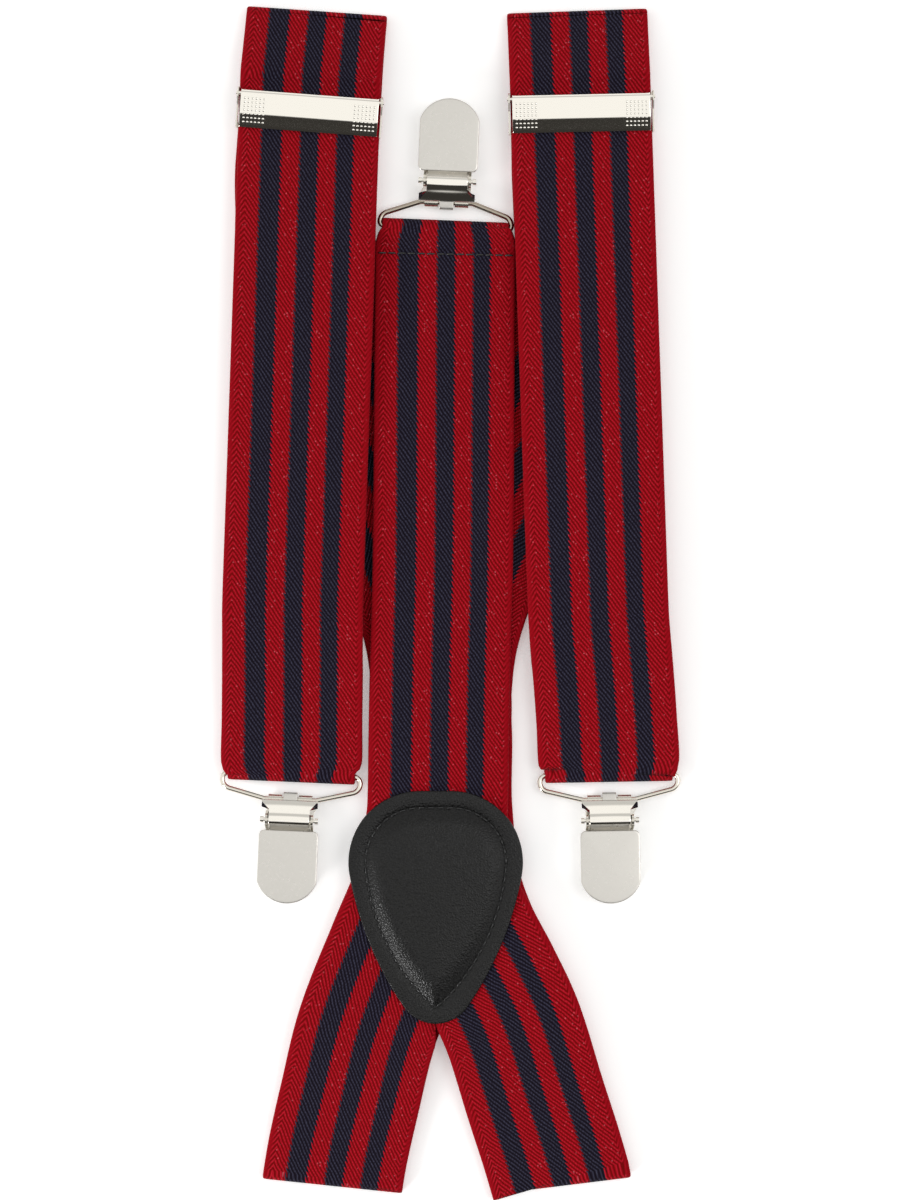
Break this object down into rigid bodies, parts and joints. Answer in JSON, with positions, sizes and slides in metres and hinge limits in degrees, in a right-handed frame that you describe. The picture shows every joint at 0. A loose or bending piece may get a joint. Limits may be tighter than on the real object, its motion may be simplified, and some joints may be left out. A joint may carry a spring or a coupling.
{
  "type": "suspenders",
  "caption": "Y-back clip-on trouser suspenders in striped elastic webbing, with a padded leather back junction, sliding adjusters and lever clips on wire loops.",
  "frame": {"origin": "middle of the underside's box, on the table", "axes": "+X across the straps, +Y up the back strap to its clip, +Z out of the face"},
  "size_m": [0.1229, 0.3182, 0.0085],
  "materials": {
    "webbing": "woven twill stripes, red and navy",
    "thread": "waxed black thread",
    "leather": "fine grain, semi matte",
    "foam": "closed-cell foam",
    "nickel": "nickel plate",
    "bright_nickel": "bright nickel plate",
    "satin_nickel": "satin nickel plate",
    "wire": "nickel-plated round wire",
    "nylon": "moulded natural nylon"
  },
  "bodies": {
    "root": {"left_strap_back": "webbing", "left_strap_front": "webbing", "left_strap_tail": "webbing", "right_strap_back": "webbing", "right_strap_front": "webbing", "right_strap_tail": "webbing", "back_strap": "webbing", "back_strap_stitching": "thread", "junction_cover": "leather", "junction_padding": "foam", "junction_backing": "leather", "junction_stitching": "thread"},
    "left_wire": {"left_clip_wire": "wire"},
    "left_clip": {"left_clip_body": "nickel", "left_clip_pin": "nickel", "left_clip_rear_pad": "nylon"},
    "left_lever": {"left_clip_lever": "bright_nickel"},
    "left_jaw": {"left_clip_front_jaw": "satin_nickel", "left_clip_front_pad": "nylon"},
    "right_wire": {"right_clip_wire": "wire"},
    "right_clip": {"right_clip_body": "nickel", "right_clip_pin": "nickel", "right_clip_rear_pad": "nylon"},
    "right_lever": {"right_clip_lever": "bright_nickel"},
    "right_jaw": {"right_clip_front_jaw": "satin_nickel", "right_clip_front_pad": "nylon"},
    "back_wire": {"back_clip_wire": "wire"},
    "back_clip": {"back_clip_body": "nickel", "back_clip_pin": "nickel", "back_clip_rear_pad": "nylon"},
    "back_lever": {"back_clip_lever": "bright_nickel"},
    "back_jaw": {"back_clip_front_jaw": "satin_nickel", "back_clip_front_pad": "nylon"},
    "left_adjuster": {"left_adjuster_frame": "nickel", "left_adjuster_pin": "nickel"},
    "left_cover": {"left_adjuster_cover": "bright_nickel"},
    "right_adjuster": {"right_adjuster_frame": "nickel", "right_adjuster_pin": "nickel"},
    "right_cover": {"right_adjuster_cover": "bright_nickel"}
  },
  "joints": [
    {"name": "left_wire_swing", "type": "hinge", "parent": "root", "child": "left_wire", "pos_m": [-0.0421, -0.0463, 0.0021], "axis": [-0.999, 0.0436, 0], "range_deg": [-105, 105]},
    {"name": "left_clip_swing", "type": "hinge", "parent": "left_wire", "child": "left_clip", "pos_m": [-0.0424, -0.05309, 0.0021], "axis": [0.999, -0.0436, 0], "range_deg": [-100, 100]},
    {"name": "left_lever_lift", "type": "hinge", "parent": "left_clip", "child": "left_lever", "pos_m": [-0.04263, -0.05839, 0.0055], "axis": [0.999, -0.0436, 0], "range_deg": [0, 80]},
    {"name": "left_jaw_open", "type": "hinge", "parent": "left_clip", "child": "left_jaw", "pos_m": [-0.0424, -0.05309, 0.0021], "axis": [-0.999, 0.0436, 0], "range_deg": [0, 7.3]},
    {"name": "right_wire_swing", "type": "hinge", "parent": "root", "child": "right_wire", "pos_m": [0.0424, -0.0463, 0.0021], "axis": [-0.9998, -0.0175, 0], "range_deg": [-105, 105]},
    {"name": "right_clip_swing", "type": "hinge", "parent": "right_wire", "child": "right_clip", "pos_m": [0.04252, -0.0531, 0.0021], "axis": [0.9998, 0.0175, 0], "range_deg": [-100, 100]},
    {"name": "right_lever_lift", "type": "hinge", "parent": "right_clip", "child": "right_lever", "pos_m": [0.04261, -0.0584, 0.0055], "axis": [0.9998, 0.0175, 0], "range_deg": [0, 80]},
    {"name": "right_jaw_open", "type": "hinge", "parent": "right_clip", "child": "right_jaw", "pos_m": [0.04252, -0.0531, 0.0021], "axis": [-0.9998, -0.0175, 0], "range_deg": [0, 7.3]},
    {"name": "back_wire_swing", "type": "hinge", "parent": "root", "child": "back_wire", "pos_m": [-0.0011, 0.0992, 0.0021], "axis": [0.9992, -0.0401, 0], "range_deg": [-90, 90]},
    {"name": "back_clip_swing", "type": "hinge", "parent": "back_wire", "child": "back_clip", "pos_m": [-0.00083, 0.106, 0.0021], "axis": [-0.9992, 0.0401, 0], "range_deg": [-100, 100]},
    {"name": "back_lever_lift", "type": "hinge", "parent": "back_clip", "child": "back_lever", "pos_m": [-0.00061, 0.11129, 0.0055], "axis": [-0.9992, 0.0401, 0], "range_deg": [0, 80]},
    {"name": "back_jaw_open", "type": "hinge", "parent": "back_clip", "child": "back_jaw", "pos_m": [-0.00083, 0.106, 0.0021], "axis": [0.9992, -0.0401, 0], "range_deg": [0, 7.3]},
    {"name": "left_adjuster_slide", "type": "slide", "parent": "root", "child": "left_adjuster", "axis": [-0.0346, -0.9994, 0], "range_m": [0, 0.11], "deforming": ["left_strap_tail"]},
    {"name": "left_cover_lift", "type": "hinge", "parent": "left_adjuster", "child": "left_cover", "pos_m": [-0.03695, 0.13309, 0.0074], "axis": [-0.9972, 0.075, 0], "range_deg": [0, 110]},
    {"name": "right_adjuster_slide", "type": "slide", "parent": "root", "child": "right_adjuster", "axis": [0.0346, -0.9994, 0], "range_m": [0, 0.11], "deforming": ["right_strap_tail"]},
    {"name": "right_cover_lift", "type": "hinge", "parent": "right_adjuster", "child": "right_cover", "pos_m": [0.03485, 0.1331, 0.0074], "axis": [-0.9998, -0.0209, 0], "range_deg": [0, 110]}
  ],
  "couplings": [
    {"joint": "left_jaw_open", "follows": "left_lever_lift", "ratio": 0.090909},
    {"joint": "right_jaw_open", "follows": "right_lever_lift", "ratio": 0.090909},
    {"joint": "back_jaw_open", "follows": "back_lever_lift", "ratio": 0.090909}
  ]
}
